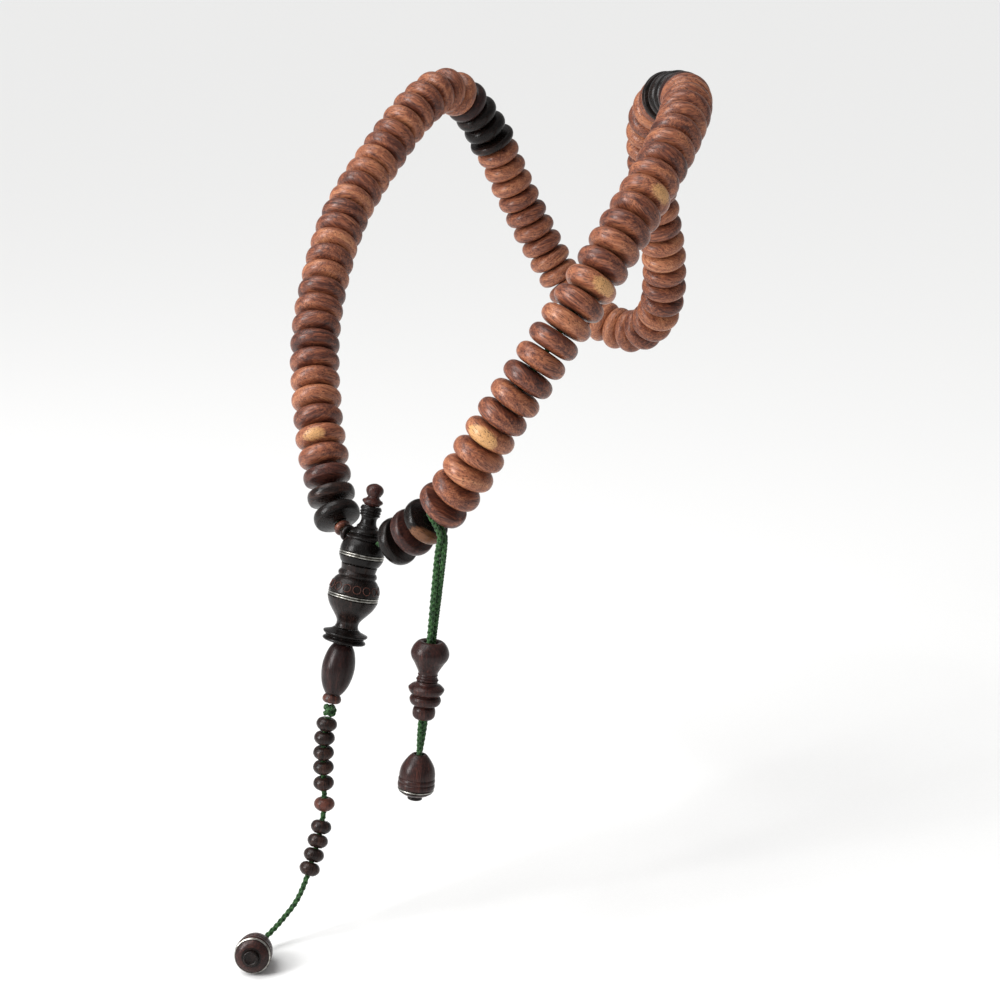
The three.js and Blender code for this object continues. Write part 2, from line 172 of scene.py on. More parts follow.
def loop_stations():
    """Distances along the loop of the right, left and back beads and of the two dividers."""
    right = [
        FIRST_RIGHT + i * PITCH + (RIGHT_SLACK if i else 0)
        + (MARKER_GAP if i >= BEADS_BEFORE_MARKER else 0) for i in range(THIRD)
    ]
    left = [
        LOOP.length - FIRST_LEFT - i * PITCH - (LEFT_SLACK if i else 0) for i in range(THIRD)
    ]
    dividers = [right[-1] + DIVIDER_PITCH, left[-1] - DIVIDER_PITCH]
    span = dividers[1] - dividers[0] - 2 * DIVIDER_PITCH
    back = [dividers[0] + DIVIDER_PITCH + i * span / (THIRD - 1) for i in range(THIRD)]
    return right, left, back, dividers


RIGHT, LEFT, BACK, DIVIDERS = loop_stations()


# The marker's doubled cord ------------------------------------------------------------------------

# Millimetres below the beads, down the marker: its slider, the cord under the slider, the drop
# under the slider and the ends of the two legs. The legs run side by side and twist a little.
SLIDER_FALL = 38.8
DROP_CORD_FALL = 30.7
DROP_FALL = 44.3
LEG_END = 68.9
LEG_OFFSET = 1.1
SLOT_DEPTH = 10.8 * MM

SLOT_DISTANCE = (RIGHT[BEADS_BEFORE_MARKER - 1] + RIGHT[BEADS_BEFORE_MARKER]) / 2
SLOT = LOOP.point(SLOT_DISTANCE)
SLOT_ALONG = LOOP.direction(SLOT_DISTANCE)
OUT = Vector((0.67, -0.32, -0.67))
OUT = (OUT - OUT.dot(SLOT_ALONG) * SLOT_ALONG).normalized()
ASIDE = SLOT_ALONG.cross(OUT)
MARKER_UP = Vector((0, 0.15, 0.989)).normalized()
MARKER_EXIT = SLOT + SLOT_DEPTH * OUT
LEG_SIDE = Vector((0.7, 0.72, 0)).normalized()
LEG_TWIST = 0.95
SLIDER = standing(MARKER_EXIT - SLIDER_FALL * MM * MARKER_UP, MARKER_UP)
MARKER_DROP = standing(MARKER_EXIT - (SLIDER_FALL + DROP_FALL) * MM * MARKER_UP, MARKER_UP)


def marker_route():
    """Up one leg, over the loop cord between two beads, and down the other leg."""
    def in_slot(out, side):
        return SLOT + out * MM * OUT + side * MM * ASIDE

    def on_leg(down, side):
        twist = Matrix.Rotation(LEG_TWIST * min(down / SLIDER_FALL, 1), 3, MARKER_UP)
        return MARKER_EXIT - down * MM * MARKER_UP + side * MM * (twist @ LEG_SIDE)

    def leg(side):
        return [
            on_leg(LEG_END, side), on_leg(SLIDER_FALL, side), on_leg(20, side),
            on_leg(5, side),
            MARKER_EXIT + side * MM * ASIDE, in_slot(6, 1.2 * side),
        ]

    over = [in_slot(1, 2.6), in_slot(-1.9, 1.9), in_slot(-2.7, 0), in_slot(-1.9, -1.9),
            in_slot(1, -2.6)]
    return Route([*leg(LEG_OFFSET), *over, *leg(-LEG_OFFSET)[::-1]])


# Finishes -----------------------------------------------------------------------------------------

class Field:
    """A shader value: ordinary arithmetic on it adds the matching Math nodes."""

    def __init__(self, finish, socket):
        self.finish = finish
        self.socket = socket

    def math(self, operation, *values):
        sockets = dict(enumerate(values))
        return self.finish.field("ShaderNodeMath", {"operation": operation}, sockets)

    def __add__(self, other):
        return self.math("ADD", self, other)

    __radd__ = __add__

    def __sub__(self, other):
        return self.math("SUBTRACT", self, other)

    def __mul__(self, other):
        return self.math("MULTIPLY", self, other)


class Finish:
    """A material and the nodes it is made from."""

    def __init__(self, name):
        self.material = bpy.data.materials.new(name)
        self.material.use_nodes = True
        self.tree = self.material.node_tree
        self.tree.nodes.clear()

    def add(self, kind, settings=None, sockets=None):
        node = self.tree.nodes.new(kind)
        for key, value in (settings or {}).items():
            if key == "stops":
                self.set_stops(node.color_ramp, value)
            else:
                setattr(node, key, value)
        for key, value in (sockets or {}).items():
            if isinstance(value, Field):
                self.tree.links.new(value.socket, node.inputs[key])
            else:
                node.inputs[key].default_value = value
        return node

    @staticmethod
    def set_stops(ramp, stops):
        while len(ramp.elements) < len(stops):
            ramp.elements.new(1)
        for element, (position, colour) in zip(ramp.elements, stops):
            element.position = position
            element.color = (*colour, 1)

    def field(self, kind, settings=None, sockets=None, output=0):
        return Field(self, self.add(kind, settings, sockets).outputs[output])

    def attribute(self, name, output="Fac"):
        return self.field("ShaderNodeAttribute", {"attribute_name": name}, output=output)

    def stretched(self, place, scale):
        return self.field("ShaderNodeMapping", None, {"Vector": place, "Scale": scale})

    def noise(self, place, scale=1, detail=2, roughness=0.5, distortion=0):
        return self.field("ShaderNodeTexNoise", None, {
            "Vector": place, "Scale": scale, "Detail": detail, "Roughness": roughness,
            "Distortion": distortion,
        })

    def spread(self, value, low, high):
        """Maps low..high to 0..1 with soft ends."""
        return self.field("ShaderNodeMapRange", {"interpolation_type": "SMOOTHSTEP"}, {
            "Value": value, "From Min": low, "From Max": high,
        })

    def mix(self, share, first, second):
        settings = {"data_type": "RGBA", "clamp_factor": True}
        first, second = (c if isinstance(c, Field) else (*c, 1) for c in (first, second))
        return self.field("ShaderNodeMix", settings, {0: share, 6: first, 7: second}, output=2)

    def ramp(self, value, stops):
        return self.field("ShaderNodeValToRGB", {"stops": stops}, {"Fac": value})

    def bump(self, height, depth, strength=1):
        return self.field("ShaderNodeBump", None, {
            "Height": height, "Distance": depth, "Strength": strength,
        })

    def finish(self, **sockets):
        sockets = {key.replace("_", " "): value for key, value in sockets.items()}
        shader = self.field("ShaderNodeBsdfPrincipled", None, sockets)
        self.add("ShaderNodeOutputMaterial", None, {"Surface": shader})
        return self.material


PORE_DEPTH = 0.08 * MM


def timber(name, stops, sapwood, polish, depth=1.0, gloss=0.35, varnish=0.1):
    """Turned hardwood. `blank` is a point in the plank it was cut from, fibres along X."""
    wood = Finish(name)
    blank = wood.attribute("blank", "Vector")
    tone = wood.attribute("tone")
    layers = wood.noise(wood.stretched(blank, (14, 190, 520)), detail=5, distortion=0.6)
    streaks = wood.noise(wood.stretched(blank, (60, 1300, 1500)), detail=2, roughness=0.6)
    fibres = wood.noise(wood.stretched(blank, (160, 3200, 3200)), detail=3, roughness=0.65)
    specks = wood.noise(wood.stretched(blank, (380, 3200, 3200)), detail=1)
    pores = wood.spread(specks, 0.56, 0.66)
    shade = tone + (layers - 0.5) + (streaks - 0.5) * 0.85 + (fibres - 0.5) * 0.6
    colour = wood.ramp(shade, stops)
    edge = wood.attribute("sapwood") + (layers - 0.5) * 0.6 + (streaks - 0.5) * 0.6
    pale = wood.mix(streaks, [0.75 * c for c in sapwood], [1.1 * c for c in sapwood])
    colour = wood.mix(wood.spread(edge, 0.3, 0.75), colour, pale)
    colour = wood.mix(pores * 0.7, colour, [0.5 * c for c in stops[0][1]])
    grease = wood.noise(blank, 260, detail=3)
    height = streaks * 0.3 + fibres * 0.3 - pores * 0.8
    return wood.finish(
        Base_Color=colour,
        Roughness=grease * 0.2 + (polish + pores * 0.2 + (fibres - 0.5) * 0.12),
        Coat_Weight=varnish, Coat_Roughness=0.16, Specular_IOR_Level=gloss,
        Normal=wood.bump(height, PORE_DEPTH * depth, 0.6),
    )


def rosewood():
    return timber("oiled_rosewood", [
        (0.0, (0.026, 0.009, 0.007)), (0.3, (0.098, 0.029, 0.018)),
        (0.5, (0.222, 0.072, 0.037)), (0.75, (0.385, 0.145, 0.070)), (1.0, (0.53, 0.24, 0.12)),
    ], (0.60, 0.32, 0.13), 0.28, gloss=0.3)


def blackwood():
    return timber("polished_blackwood", [
        (0.0, (0.002, 0.0016, 0.0015)), (0.45, (0.005, 0.0036, 0.0032)),
        (0.75, (0.017, 0.0095, 0.008)), (1.0, (0.05, 0.024, 0.018)),
    ], (0.17, 0.075, 0.038), 0.16, depth=0.6, gloss=0.17, varnish=0.04)


def plumwood():
    return timber("polished_plumwood", [
        (0.0, (0.006, 0.003, 0.003)), (0.35, (0.016, 0.0065, 0.006)),
        (0.65, (0.040, 0.0145, 0.012)), (1.0, (0.105, 0.036, 0.025)),
    ], (0.2, 0.09, 0.05), 0.2, depth=0.9, gloss=0.2, varnish=0.04)


def silver_wire():
    metal = Finish("silver_wire")
    place = metal.field("ShaderNodeTexCoord", output="Object")
    tarnish = metal.noise(place, 700, detail=4)
    scratches = metal.noise(metal.stretched(place, (900, 900, 9000)), detail=2)
    return metal.finish(
        Base_Color=metal.mix(metal.spread(tarnish, 0.4, 0.68), (0.42, 0.41, 0.38),
                             (0.15, 0.14, 0.12)),
        Metallic=1.0,
        Roughness=tarnish * 0.25 + 0.18,
        Normal=metal.bump(scratches, 0.00004, 0.4),
    )


def yarn(name, dark, light):
    """Twisted thread: fine plies round each yarn and a fibrous, slightly fuzzy surface."""
    thread = Finish(name)
    place = thread.field("ShaderNodeTexCoord", output="Object")
    fluff = thread.noise(place, 9000, detail=3, roughness=0.7)
    patches = thread.noise(place, 700, detail=2)
    shade = thread.spread(fluff * 0.5 + patches * 0.5, 0.4, 0.6)
    return thread.finish(
        Base_Color=thread.mix(shade, dark, light),
        Roughness=fluff * 0.2 + 0.6, Sheen_Weight=0.25, Sheen_Roughness=0.4,
        Specular_IOR_Level=0.35,
        Normal=thread.bump(fluff, 0.00006, 0.8),
    )


ROSEWOOD = rosewood()
BLACKWOOD = blackwood()
PLUMWOOD = plumwood()
SILVER = silver_wire()
GREEN = yarn("green_yarn", (0.006, 0.032, 0.007), (0.030, 0.105, 0.022))
# Near-black yarns: partly a dark yarn, partly painted shade for the deep shade between the strands
# of the plait.
DARK_GREEN_AND_SHADE = yarn("dark_green_yarn_and_shade", (0.001, 0.004, 0.0015), (0.004, 0.014, 0.005))
PALE_GREEN = yarn("pale_green_yarn", (0.045, 0.12, 0.03), (0.34, 0.52, 0.22))
YARNS = [GREEN, DARK_GREEN_AND_SHADE, PALE_GREEN]

chance = random.Random(99)


# Cords --------------------------------------------------------------------------------------------

def moving_frame(route, distances):
    """Two directions across the line at each distance, turning as little as they can."""
    across = Vector((0.3, 0.2, 1))
    frames = []
    for distance in distances:
        along = route.direction(distance)
        across = (across - across.dot(along) * along).normalized()
        frames.append((route.point(distance), across.copy(), along.cross(across)))
    return frames


YARN_SHARE = 0.215  # a yarn's radius, as a part of the plait's diameter
PLAIT_REACH = 0.52  # how far the yarns' backs reach from the middle, likewise
YARN_RISE = 0.22  # how far a yarn rises and dips as it crosses the others
# One pale, two green and three dark yarns; the dark ones are partly painted shade between the
# strands.
TWO_GREENS = (2, 1, 0, 1, 0, 1)
# Every yarn dark: painted shade, for the loop cord where it runs in shade between the beads.
ALL_DARK_PAINTED_SHADE = (1, 1, 1, 1, 1, 1)


def plaited(name, lines, diameter, lay, step, order=TWO_GREENS):
    """Round plaits of six yarns: three run each way and pass over and under the others."""
    yarn_radius = YARN_SHARE * diameter
    middle = PLAIT_REACH * diameter - yarn_radius
    data = bpy.data.curves.new(name, "CURVE")
    data.dimensions = "3D"
    data.bevel_depth = yarn_radius
    data.bevel_resolution = 1
    data.use_fill_caps = True
    for route, start, end in lines:
        count = max(8, round((end - start) / step))
        distances = [start + (end - start) * i / count for i in range(count + 1)]
        frames = moving_frame(route, distances)
        for number, colour in enumerate(order):
            way = 1 if number % 2 else -1
            spline = data.splines.new("POLY")
            spline.points.add(count)
            spline.material_index = colour
            for point, distance, (centre, across, third) in zip(spline.points, distances,
                                                                frames):
                turn = 2 * math.pi * distance / lay
                angle = way * turn + (number // 2) * math.tau / 3
                radius = middle * (1 + YARN_RISE * way * math.cos(3 * turn))
                spot = centre + radius * (math.cos(angle) * across + math.sin(angle) * third)
                point.co = (*spot, 1)
    return as_mesh(name, data, YARNS)


def as_mesh(name, data, finishes):
    """Turns a built curve into a mesh piece."""
    curve = bpy.data.objects.new(name + "_line", data)
    mesh = bpy.data.meshes.new_from_object(curve)
    bpy.data.objects.remove(curve)
    bpy.data.curves.remove(data)
    shape = bmesh.new()
    shape.from_mesh(mesh)
    bmesh.ops.remove_doubles(shape, verts=shape.verts, dist=WELD)
    bmesh.ops.recalc_face_normals(shape, faces=shape.faces)
    for face in shape.faces:
        face.smooth = True
    shape.to_mesh(mesh)
    shape.free()
    mesh.name = name
    mesh.materials.clear()
    for finish in finishes:
        mesh.materials.append(finish)
    piece = bpy.data.objects.new(name, mesh)
    bpy.context.collection.objects.link(piece)
    return piece


def path_of(route, start, end, count):
    """Evenly spaced points along part of a line."""
    return [route.point(start + (end - start) * i / count) for i in range(count + 1)]


def settle(piece, body, slot, *nodes):
    """Gives a piece its body and hides the plain nodes it stands in for; its finish slot is not
    used.
    """
    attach(piece, body)
    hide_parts(*nodes)
    return piece


CORD = 2 * MM
MARKER_CORD = 2.2 * MM
DROP_LEG = 1.85 * MM
KNOT_CORD = 1.75 * MM
FINE_STEP = 0.25 * MM
MARKER_ROUTE = marker_route()
TAIL_START = 2.8 * MM

tail_cord = settle(
    plaited("tail_cord_plait", [(TAIL, TAIL_START, TAIL.length)], CORD, 7 * MM, FINE_STEP),
    "tail", "green_cord", "tail_cord",
)
marker_cord = settle(
    plaited("marker_cord_plait", [(MARKER_ROUTE, 0, MARKER_ROUTE.length)], MARKER_CORD,
            7 * MM, FINE_STEP),
    "marker", "green_cord", "marker_cord",
)
DROP_LINE_TOP = MARKER_EXIT - (SLIDER_FALL + DROP_CORD_FALL) * MM * MARKER_UP
DROP_LINE_LENGTH = 17.3
DROP_LINE_STEPS = 18
STEPS_PER_TURN = 60


def twisted_leg(side):
    """One of the marker cord's two legs below the slider, wound round the other."""
    across = side * LEG_SIDE
    points = []
    for i in range(DROP_LINE_STEPS + 1):
        turn = math.tau * i / STEPS_PER_TURN
        offset = math.cos(turn) * across + math.sin(turn) * MARKER_UP.cross(across)
        down = DROP_LINE_LENGTH * i / DROP_LINE_STEPS * MM
        points.append(DROP_LINE_TOP - down * MARKER_UP + 0.85 * MM * offset)
    return Route(points, 12)


twisted_legs = [twisted_leg(side) for side in (1, -1)]
settle(
    plaited("marker_drop_cord_plait", [(leg, 0, leg.length) for leg in twisted_legs],
            DROP_LEG, 6 * MM, FINE_STEP),
    "marker", "green_cord", "marker_drop_cord",
)
# The loop cord is plaited from dark yarns only: painted shade for the dark gaps between the beads.
settle(
    plaited("loop_cord_plait", [(LOOP, 0, LOOP.length)], CORD, 9 * MM, 0.75 * MM, ALL_DARK_PAINTED_SHADE),
    "loop", "green_cord", "loop_cord",
)
CORE_TOP = 2.4
CORE_STEP = 15.4
core_line = Route([HEAD - (CORE_TOP + CORE_STEP * i) * MM * HEAD_UP for i in range(5)])
settle(
    plaited("headpiece_core_plait", [(core_line, 0, core_line.length)], CORD, 6 * MM,
            0.4 * MM),
    "imam", "green_cord", "imam_core_cord",
)


KNOT_RADIUS = 1.35
KNOT_SWELL = 0.55
KNOT_HALF_HEIGHT = 1.45
KNOT_STEPS = 39
KNOT_CLOSED = 0.985  # how much of the full turn the line makes before its two ends meet


def knot():
    """The cord's stopper knot: one line wound twice through itself, drawn tight."""
    base = standing(KNOT, HEAD_UP)
    points = []
    for i in range(KNOT_STEPS + 1):
        turn = math.tau * i / KNOT_STEPS * KNOT_CLOSED
        radius = KNOT_RADIUS + KNOT_SWELL * math.cos(3 * turn)
        spot = Vector((radius * math.cos(2 * turn), radius * math.sin(2 * turn),
                       KNOT_HALF_HEIGHT * math.sin(3 * turn)))
        points.append(base @ (spot * MM))
    line = Route(points, 8)
    return plaited("tail_knot_plait", [(line, 0, line.length)], KNOT_CORD, 5 * MM, 0.3 * MM)


settle(knot(), "tail", "green_cord", "tail_knot")


# Turned pieces ------------------------------------------------------------------------------------

def outline(start, *runs):
    """A turned outline in mm: each run is a smooth curve on from the last point, and two runs
    meet at a corner. A run of one point is a straight line."""
    points = [start]
    for run in runs:
        if len(run) == 1:
            points.append(run[0])
            continue
        line = Route([(r * MM, 0, h * MM) for r, h in (points[-1], *run)], 4)
        points += [(max(p.x, 0) / MM, p.z / MM) for p in line.points[1:]]
    return points


def spun(points, segments, bored):
    """Spins an outline into a closed solid, its axis along Z."""
    shape = bmesh.new()
    verts = [shape.verts.new((r * MM, 0, h * MM)) for r, h in points]
    pairs = list(zip(verts, verts[1:]))
    if bored:
        pairs.append((verts[-1], verts[0]))
    edges = [shape.edges.new(pair) for pair in pairs]
    bmesh.ops.spin(
        shape, geom=verts + edges, cent=(0, 0, 0), axis=(0, 0, 1), angle=math.tau,
        steps=segments, use_merge=True,
    )
    bmesh.ops.remove_doubles(shape, verts=shape.verts, dist=WELD)
    bmesh.ops.dissolve_degenerate(shape, dist=1e-8, edges=shape.edges)
    bmesh.ops.recalc_face_normals(shape, faces=shape.faces)
    return shape


SHARP_CORNER = math.radians(38)


def soften(shape, width):
    """Rounds the sharp edges over and shades the rest smooth."""
    sharp = [e for e in shape.edges if e.is_manifold and e.calc_face_angle(0) > SHARP_CORNER]
    if sharp and width:
        bmesh.ops.bevel(
            shape, geom=sharp, offset=width * MM, offset_type="OFFSET", segments=2,
            profile=0.5, affect="EDGES", clamp_overlap=True, material=-1,
        )
    for face in shape.faces:
        face.smooth = True


def from_plank(shape, fibre, tone, sapwood=None):
    """Marks where each point lay in the plank: fibres along `fibre`, at a place of its own."""
    blank = shape.verts.layers.float_vector.new("blank")
    depth = shape.verts.layers.float.new("tone")
    pale = shape.verts.layers.float.new("sapwood")
    turn = Vector(fibre).to_track_quat("X", "Z").inverted()
    away = Vector([chance.uniform(0.2, 3) for _ in range(3)])
    for vert in shape.verts:
        vert[blank] = turn @ vert.co + away
        vert[depth] = tone
        vert[pale] = sapwood(vert.co / MM) if sapwood else -1


def make_piece(name, shape, place, finishes):
    """Sets a shape in its place and makes it a piece with its finishes."""
    bmesh.ops.transform(shape, matrix=place, verts=shape.verts)
    mesh = bpy.data.meshes.new(name)
    shape.to_mesh(mesh)
    shape.free()
    for finish in finishes:
        mesh.materials.append(finish)
    piece = bpy.data.objects.new(name, mesh)
    bpy.context.collection.objects.link(piece)
    return piece


BEAD_RADIUS = 10.0
BEAD_THICKNESS = 7.9
BEAD_BORE = 1.75
MOUTH_DEPTH = 0.45
MOUTH_WIDTH = 0.5
FACE_FLATNESS = 4.6
RIM_FULLNESS = 2.2


def puffy_outline(radius, half, bore, steps=11):
    """Half of the outline of a bead whose rim is rounded all the way over."""
    mouth = bore + MOUTH_WIDTH
    points = [(bore, half - MOUTH_DEPTH), (mouth, half * 0.985)]
    for i in range(1, steps):
        reach = mouth + (radius - bore - MOUTH_WIDTH) * math.sin(math.pi / 2 * i / steps)
        height = half * (1 - (reach / radius) ** FACE_FLATNESS) ** (1 / RIM_FULLNESS)
        points.append((reach, height))
    return points + [(radius, 0)]


def crisp_outline(radius, half, bore):
    """Half of the outline of a disc with low conical faces and a narrow rim."""
    return outline(
        (bore, half - MOUTH_DEPTH), [(bore + MOUTH_WIDTH, half)],
        [(0.55 * radius, 0.84 * half), (0.87 * radius, 0.6 * half)],
        [(0.91 * radius, 0.575 * half), (0.945 * radius, 0.52 * half)],
        [(0.98 * radius, 0.32 * half), (radius, 0)],
    )


SIDEWAYS = Vector((0.69, 0.72, 0))
FORWARD = Vector((0.70, -0.66, 0.05))


def disc(name, distance, body, node, finish, slot, tone, crisp=False, sap=None,
         radius=BEAD_RADIUS, thickness=BEAD_THICKNESS):
    """A bead or a divider, threaded on the loop, its fibres lying across the line."""
    half = thickness / 2
    upper = (crisp_outline if crisp else puffy_outline)(radius, half, BEAD_BORE)
    points = [*upper, *[(r, -h) for r, h in reversed(upper[:-1])]]
    shape = spun(points, 56, True)
    soften(shape, 0)
    place = LOOP.stand(distance)
    side = place.to_3x3().inverted() @ SIDEWAYS
    angle = math.atan2(side.y, side.x) + chance.uniform(-0.9, 0.9)
    fibre = (math.cos(angle), math.sin(angle), chance.uniform(-0.3, 0.3))
    from_plank(shape, fibre, tone, sap_patch(place, *sap) if sap else None)
    return settle(make_piece(name, shape, place, [finish]), body, slot, node)


def sap_patch(place, direction, start):
    """Sapwood on one side of a bead: rises from 0 to 1 past `start` millimetres that way."""
    direction = place.to_3x3().inverted() @ direction.normalized()
    return lambda spot: 0.5 + (spot.dot(direction) - start) / 3


# The tones run from dark (0) to pale (1), counted away from the headpiece.
RIGHT_TONES = [
    0.5, 0.6, 0.45, 0.3, 0.5, 0.66, 0.58, 0.66, 0.42, 0.55, 0.36, 0.52, 0.42, 0.6, 0.45, 0.62,
    0.36, 0.5, 0.38, 0.45, 0.62, 0.5, 0.4, 0.52, 0.42, 0.56, 0.42, 0.5, 0.6, 0.5, 0.5, 0.4, 0.5,
]
LEFT_TONES = [
    0.5, 0.75, 0.8, 0.46, 0.6, 0.42, 0.62, 0.62, 0.44, 0.26, 0.4, 0.46, 0.34, 0.6, 0.42, 0.66,
    0.4, 0.36, 0.62, 0.42, 0.6, 0.68, 0.4, 0.42, 0.6, 0.5, 0.45, 0.55, 0.5, 0.58, 0.45, 0.6, 0.5,
]
BACK_TONES = (0.38, 0.68)
SMALLEST_BEAD = 9.8
THINNEST_BEAD = 7.75
DIVIDER_RADIUS = 10.6
DIVIDER_THICKNESS = 6.0
# Beads that aren't red timber, and the size of the ones beside the headpiece.
BLACK_BEADS = {("right", 1), ("right", 3), ("left", 1), ("left", 2)}
BLACK_BEADS |= {(side, number) for side in ("right", "left") for number in (32, 33)}
PLUM_BEADS = {("right", 2), ("left", 3), ("right", 31), ("left", 31)}
CRISP_RADII = {
    ("right", 1): 9.3, ("right", 2): 9.4, ("right", 3): 9.3, ("right", 4): 9.9,
    ("left", 1): 9.2, ("left", 2): 9.4, ("left", 3): 9.4,
}
SAP = {
    ("right", 3): (FORWARD - Vector((0, 0, 0.7)), 6.5),
    ("right", 8): (FORWARD - 0.4 * SIDEWAYS, 7.6),
    ("right", 16): (FORWARD + 0.5 * SIDEWAYS, 8.7),
    ("right", 21): (FORWARD + 0.6 * SIDEWAYS, 8.5),
    ("left", 5): (FORWARD - 0.1 * SIDEWAYS, 8.1),
}
# How many beads are loose on each side, and the last number in each run of the others.
RUNS = {
    "right": (6, (13, 20, 27, 33)), "left": (3, (9, 15, 21, 27, 33)),
    "back": (0, (7, 14, 20, 26, 33)),
}


def node_of(side, number):
    """The CAD node that holds a bead, and the body it moves with."""
    loose, ends = RUNS[side]
    if number <= loose:
        name = f"{side}_bead_{number:02d}"
        return name, name
    start = loose + 1
    for end in ends:
        if number <= end:
            return f"{side}_beads_{start:02d}_{end:02d}", "loop"
        start = end + 1


def timber_of(key):
    if key in BLACK_BEADS:
        return BLACKWOOD, "black_timber"
    if key in PLUM_BEADS:
        return PLUMWOOD, "plum_timber"
    return ROSEWOOD, "red_timber"


def beads():
    """Threads all ninety-nine beads, a piece each."""
    tones = {"right": RIGHT_TONES, "left": LEFT_TONES}
    for side, stations in (("right", RIGHT), ("left", LEFT), ("back", BACK)):
        for number, distance in enumerate(stations, 1):
            key = (side, number)
            node, body = node_of(side, number)
            tone = tones[side][number - 1] if side in tones else chance.uniform(*BACK_TONES)
            disc(
                f"turned_{side}_bead_{number:02d}", distance, body, node, *timber_of(key), tone,
                key in CRISP_RADII, SAP.get(key),
                CRISP_RADII.get(key, chance.uniform(SMALLEST_BEAD, BEAD_RADIUS)),
                chance.uniform(THINNEST_BEAD, BEAD_THICKNESS),
            )


beads()
for side, distance in zip(("right", "left"), DIVIDERS):
    disc(
        f"turned_{side}_divider", distance, "loop", f"{side}_divider", BLACKWOOD,
        "black_timber", 0.6, True, radius=DIVIDER_RADIUS, thickness=DIVIDER_THICKNESS,
    )


def turning(name, points, place, body, node, finish, slot, tone=0.5, bored=True,
            segments=64, edge=0.12, foot=None):
    """A lathe-turned piece; below `foot` millimetres its end grain has gone dark."""
    shape = spun(points, segments, bored)
    soften(shape, edge)
    from_plank(shape, (0.05, 0.03, 1), tone)
    for face in shape.faces:
        if foot is not None and face.calc_center_median().z < foot * MM:
            face.material_index = 1
    return settle(make_piece(name, shape, place, [finish, BLACKWOOD]), body, slot, node)


ON_HEAD = standing(HEAD, HEAD_UP)

turning("turned_finial", outline(
    (0, 10.2), [(1.2, 10.2)], [(1.2, 13.4)], [(2.9, 13.4)], [(3.2, 13.9)], [(3.8, 14.4),
    (4.0, 14.9), (3.7, 15.5)], [(2.8, 16.0), (2.25, 16.7), (2.3, 17.1)], [(2.65, 17.2),
    (2.75, 17.55)], [(3.1, 18.1), (3.4, 19.2), (3.1, 20.3), (2.2, 21.2), (0.9, 21.75),
    (0, 21.9)],
), ON_HEAD, "imam", "imam_finial", PLUMWOOD, "plum_timber", 0.62, bored=False, edge=0.1)

turning("turned_head", outline(
    (0, 0.5), [(1.6, 0.5)], [(1.6, -9.6)], [(7.0, -9.6)], [(7.4, -9.3), (8.1, -8.0),
    (8.6, -6.75)], [(7.7, -6.75)], [(7.7, -4.65)], [(8.6, -4.65)], [(8.5, -3.4), (7.9, -1.5),
    (7.15, -0.3)], [(6.6, 0.2)], [(7.1, 0.5), (7.15, 0.9), (6.6, 1.4)], [(5.3, 1.9)],
    [(5.7, 2.5), (5.6, 3.2), (5.1, 3.9)], [(4.1, 4.5)], [(4.2, 5.1)], [(3.4, 5.9), (3.0, 7.2),
    (3.05, 8.5), (3.5, 9.3)], [(3.9, 9.5), (3.9, 9.9), (3.55, 10.2)], [(3.95, 10.5),
    (3.95, 11.0), (3.6, 11.3)], [(4.05, 11.7), (4.05, 12.3), (3.6, 13.1)], [(1.5, 13.1)],
    [(1.5, 9.9)], [(0, 9.9)],
), ON_HEAD, "imam", "imam_head", BLACKWOOD, "black_timber", 0.35, bored=False)

turning("turned_vase", outline(
    (1.6, -34.4), [(4.6, -34.4)], [(4.25, -33.5), (4.3, -32.2), (5.0, -30.8), (6.9, -28.4),
    (8.5, -26.2), (9.4, -24.2), (9.8, -22.95)], [(8.8, -22.95)], [(8.8, -20.85)],
    [(9.8, -20.85)], [(9.5, -19), (8.8, -16.9), (8.2, -15.8)], [(7.5, -15.1)],
    [(6.9, -14.7)], [(7.4, -14.2), (7.5, -13.4), (7.1, -12.6)], [(6.6, -12.2)],
    [(6.75, -11.3), (7, -9.9)], [(1.6, -9.9)],
), ON_HEAD, "imam", "imam_vase", BLACKWOOD, "black_timber", 0.62)


RING_SEAT = (9.29 * MM, 0, -18.3 * MM)
RING_FACING = Vector((0.955, 0, 0.296))


def engraved_rings(count=15, radius=1.5, line=0.13):
    """A row of small rings round the vase's shoulder, each one a fine raised line."""
    shape = bmesh.new()
    for number in range(count):
        section = [
            shape.verts.new((radius + line * math.cos(a), 0, line * math.sin(a)))
            for a in (math.tau * i / 6 for i in range(6))
        ]
        edges = [shape.edges.new(pair) for pair in zip(section, section[1:] + section[:1])]
        bmesh.ops.spin(
            shape, geom=section + edges, cent=(0, 0, 0), axis=(0, 0, 1), angle=math.tau,
            steps=24, use_merge=True,
        )
        around = Matrix.Rotation(math.tau * number / count, 4, "Z")
        seat = around @ Matrix.Translation(RING_SEAT)
        seat @= RING_FACING.to_track_quat("Z", "Y").to_matrix().to_4x4()
        fresh = [v for v in shape.verts if not v.tag]
        bmesh.ops.scale(shape, vec=(MM, MM, MM), verts=fresh)
        bmesh.ops.transform(shape, matrix=seat, verts=fresh)
        for vert in fresh:
            vert.tag = True
    bmesh.ops.remove_doubles(shape, verts=shape.verts, dist=WELD)
    bmesh.ops.recalc_face_normals(shape, faces=shape.faces)
    soften(shape, 0)
    from_plank(shape, (0, 0, 1), 0.9)
    piece = make_piece("vase_rings", shape, ON_HEAD, [PLUMWOOD])
    return settle(piece, "imam", "plum_timber", "imam_vase")


engraved_rings()

